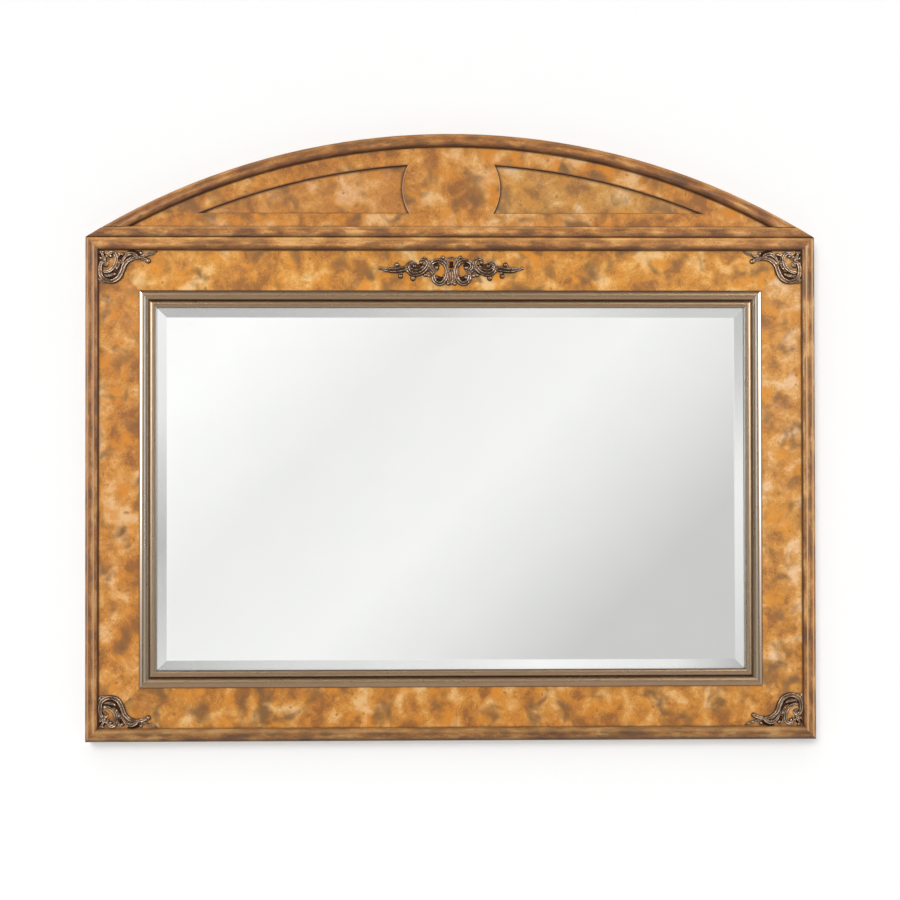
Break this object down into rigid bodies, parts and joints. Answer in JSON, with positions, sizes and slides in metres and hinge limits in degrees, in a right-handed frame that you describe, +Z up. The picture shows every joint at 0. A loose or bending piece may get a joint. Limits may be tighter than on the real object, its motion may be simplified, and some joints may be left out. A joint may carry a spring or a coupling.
{
  "type": "wall mirror",
  "caption": "Wide wall mirror with bevelled glass, burl-veneered frame with beaded edge, silvered inner moulding, arched pediment and cast metal ornaments.",
  "frame": {"origin": "middle of the hanging line on the wall plane, between the two wall hooks", "axes": "+X to the mirror's right as seen from the front, +Y back into the wall, +Z up"},
  "size_m": [1.1, 0.0365, 0.9144],
  "materials": {
    "frame_timber": "sawn and sanded, stained on the edges",
    "beech_joints": "sanded",
    "burl_veneer": "satin lacquer",
    "stained_moulding": "satin lacquer",
    "silvered_fillet": "silver leaf under tinted lacquer, satin",
    "mirror_glass": "polished, bevelled",
    "silvering": "protective back paint",
    "glazing_pads": "matt",
    "packing_sheet": "grey-brown felt paper",
    "backing_board": "pressed fibreboard, smooth side out",
    "turn_buttons": "brushed",
    "button_screws": "zinc plated",
    "hanger_steel": "nickel plated",
    "plate_steel": "zinc plated",
    "plate_screws": "zinc plated",
    "bumpers": "matt",
    "cast_ornament": "cast, antique bronze and pewter patina",
    "ornament_pins": "dull"
  },
  "bodies": {
    "mirror": {"top_rail": "frame_timber", "bottom_rail": "frame_timber", "left_stile": "frame_timber", "right_stile": "frame_timber", "pediment_board": "frame_timber", "mitre_biscuits": "beech_joints", "pediment_dowels": "beech_joints", "top_veneer": "burl_veneer", "top_bead": "stained_moulding", "top_fillet": "silvered_fillet", "bottom_veneer": "burl_veneer", "bottom_bead": "stained_moulding", "bottom_fillet": "silvered_fillet", "left_veneer": "burl_veneer", "left_bead": "stained_moulding", "left_fillet": "silvered_fillet", "right_veneer": "burl_veneer", "right_bead": "stained_moulding", "right_fillet": "silvered_fillet", "pediment_veneer": "burl_veneer", "left_wing_panel": "burl_veneer", "right_wing_panel": "burl_veneer", "arch_moulding": "stained_moulding", "pediment_foot_moulding": "stained_moulding", "mirror_glass": "mirror_glass", "mirror_silvering": "silvering", "glazing_pads": "glazing_pads", "packing_sheet": "packing_sheet", "backing_board": "backing_board", "turn_button_screws": "button_screws", "left_hanger_strap": "hanger_steel", "left_mending_plate": "plate_steel", "right_hanger_strap": "hanger_steel", "right_mending_plate": "plate_steel", "hanger_screws": "plate_screws", "corner_brace_screws": "plate_screws", "mending_plate_screws": "plate_screws", "corner_braces": "plate_steel", "bumper_top_left": "bumpers", "ornament_top_left": "cast_ornament", "bumper_top_right": "bumpers", "ornament_top_right": "cast_ornament", "bumper_bottom_left": "bumpers", "ornament_bottom_left": "cast_ornament", "bumper_bottom_right": "bumpers", "ornament_bottom_right": "cast_ornament", "ornament_centre": "cast_ornament", "ornament_pins": "ornament_pins"},
    "left_ring": {"left_hanger_ring": "hanger_steel"},
    "right_ring": {"right_hanger_ring": "hanger_steel"},
    "button_top_left": {"turn_button_top_left": "turn_buttons"},
    "button_top_centre": {"turn_button_top_centre": "turn_buttons"},
    "button_top_right": {"turn_button_top_right": "turn_buttons"},
    "button_bottom_left": {"turn_button_bottom_left": "turn_buttons"},
    "button_bottom_centre": {"turn_button_bottom_centre": "turn_buttons"},
    "button_bottom_right": {"turn_button_bottom_right": "turn_buttons"},
    "button_left": {"turn_button_left": "turn_buttons"},
    "button_right": {"turn_button_right": "turn_buttons"}
  },
  "joints": [
    {"name": "left_ring_swing", "type": "hinge", "parent": "mirror", "child": "left_ring", "pos_m": [-0.5, -0.00302, -0.01446], "axis": [-1, 0, 0], "range_deg": [0, 180]},
    {"name": "right_ring_swing", "type": "hinge", "parent": "mirror", "child": "right_ring", "pos_m": [0.5, -0.00302, -0.01446], "axis": [-1, 0, 0], "range_deg": [0, 180]},
    {"name": "button_top_left_turn", "type": "hinge", "parent": "mirror", "child": "button_top_left", "pos_m": [-0.3, -0.0049, 0.079], "axis": [0, 1, 0], "range_deg": [0, 90]},
    {"name": "button_top_centre_turn", "type": "hinge", "parent": "mirror", "child": "button_top_centre", "pos_m": [0, -0.0049, 0.079], "axis": [0, 1, 0], "range_deg": [0, 90]},
    {"name": "button_top_right_turn", "type": "hinge", "parent": "mirror", "child": "button_top_right", "pos_m": [0.3, -0.0049, 0.079], "axis": [0, 1, 0], "range_deg": [0, 90]},
    {"name": "button_bottom_left_turn", "type": "hinge", "parent": "mirror", "child": "button_bottom_left", "pos_m": [-0.3, -0.0049, -0.497], "axis": [0, 1, 0], "range_deg": [0, 90]},
    {"name": "button_bottom_centre_turn", "type": "hinge", "parent": "mirror", "child": "button_bottom_centre", "pos_m": [0, -0.0049, -0.497], "axis": [0, 1, 0], "range_deg": [0, 90]},
    {"name": "button_bottom_right_turn", "type": "hinge", "parent": "mirror", "child": "button_bottom_right", "pos_m": [0.3, -0.0049, -0.497], "axis": [0, 1, 0], "range_deg": [0, 90]},
    {"name": "button_left_turn", "type": "hinge", "parent": "mirror", "child": "button_left", "pos_m": [-0.459, -0.0049, -0.209], "axis": [0, 1, 0], "range_deg": [0, 90]},
    {"name": "button_right_turn", "type": "hinge", "parent": "mirror", "child": "button_right", "pos_m": [0.459, -0.0049, -0.209], "axis": [0, 1, 0], "range_deg": [0, 90]}
  ]
}
